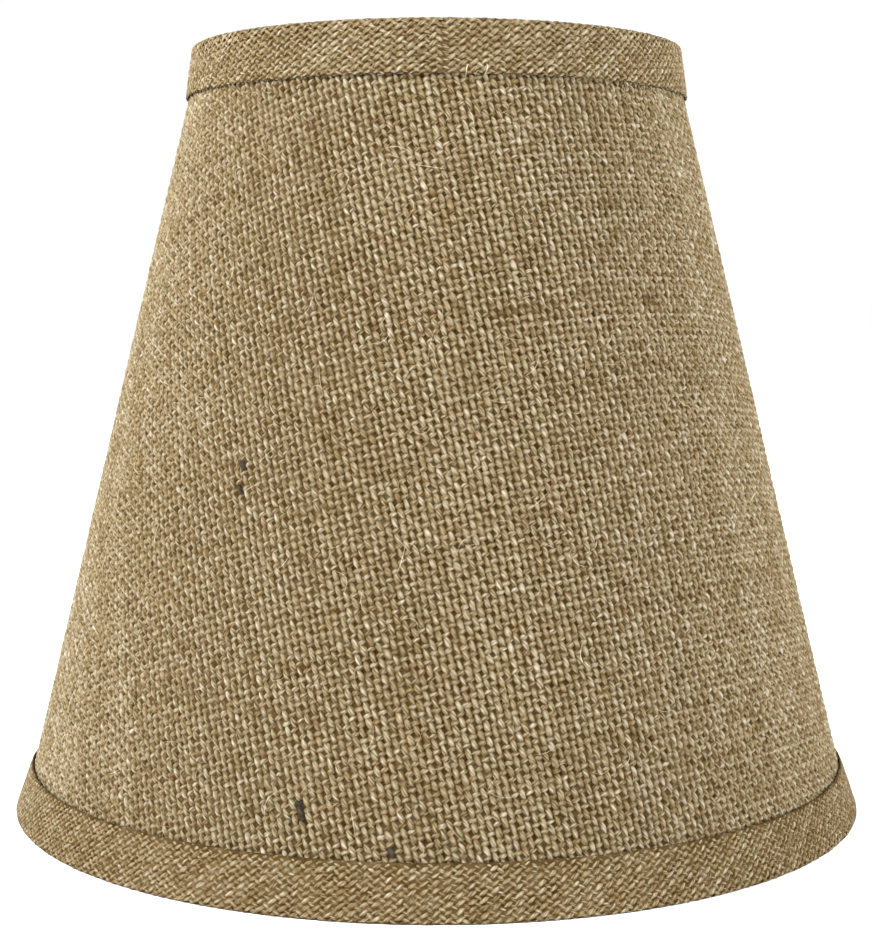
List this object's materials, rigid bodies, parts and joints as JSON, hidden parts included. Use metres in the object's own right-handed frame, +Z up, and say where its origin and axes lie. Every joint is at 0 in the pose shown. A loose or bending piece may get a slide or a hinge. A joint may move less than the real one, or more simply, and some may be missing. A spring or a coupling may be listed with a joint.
{
  "type": "lamp shade",
  "caption": "Small burlap empire lamp shade on a stiff liner, with folded trims, wire rings and a tilting wire clip that grips a bulb.",
  "frame": {"origin": "centre of the lower edge, in the plane that the shade stands on", "axes": "+Z up along the cone's axis, +Y towards the lap seam at the back, X along the fitter bridge"},
  "size_m": [0.232, 0.232, 0.2032],
  "materials": {
    "burlap": "coarse plain weave, matt",
    "burlap_trim": "bias-cut plain weave, matt",
    "styrene": "smooth, slightly satin",
    "tape": "translucent",
    "plated_wire": "satin nickel plate",
    "stamped_plate": "satin nickel plate",
    "rivet": "satin",
    "spring_wire": "bright drawn wire"
  },
  "bodies": {
    "shade": {"burlap_cover": "burlap", "styrene_liner": "styrene", "seam_tape": "tape", "top_ring": "plated_wire", "bottom_ring": "plated_wire", "top_trim": "burlap_trim", "bottom_trim": "burlap_trim", "fitter_bridge": "plated_wire"},
    "clip": {"clip_saddle": "stamped_plate", "clip_keeper": "stamped_plate", "clip_rivets": "rivet"},
    "front_loop": {"clip_loop_front": "spring_wire"},
    "back_loop": {"clip_loop_back": "spring_wire"}
  },
  "joints": [
    {"name": "clip_tilt", "type": "hinge", "parent": "shade", "child": "clip", "pos_m": [0, 0, 0.1652], "axis": [1, 0, 0], "range_deg": [-35, 35]},
    {"name": "front_loop_open", "type": "hinge", "parent": "clip", "child": "front_loop", "pos_m": [0, -0.009, 0.1652], "axis": [-1, 0, 0], "range_deg": [0, 15], "stiffness_Nm_per_rad": 1.4},
    {"name": "back_loop_open", "type": "hinge", "parent": "clip", "child": "back_loop", "pos_m": [0, 0.009, 0.1652], "axis": [1, 0, 0], "range_deg": [0, 15], "stiffness_Nm_per_rad": 1.4}
  ]
}
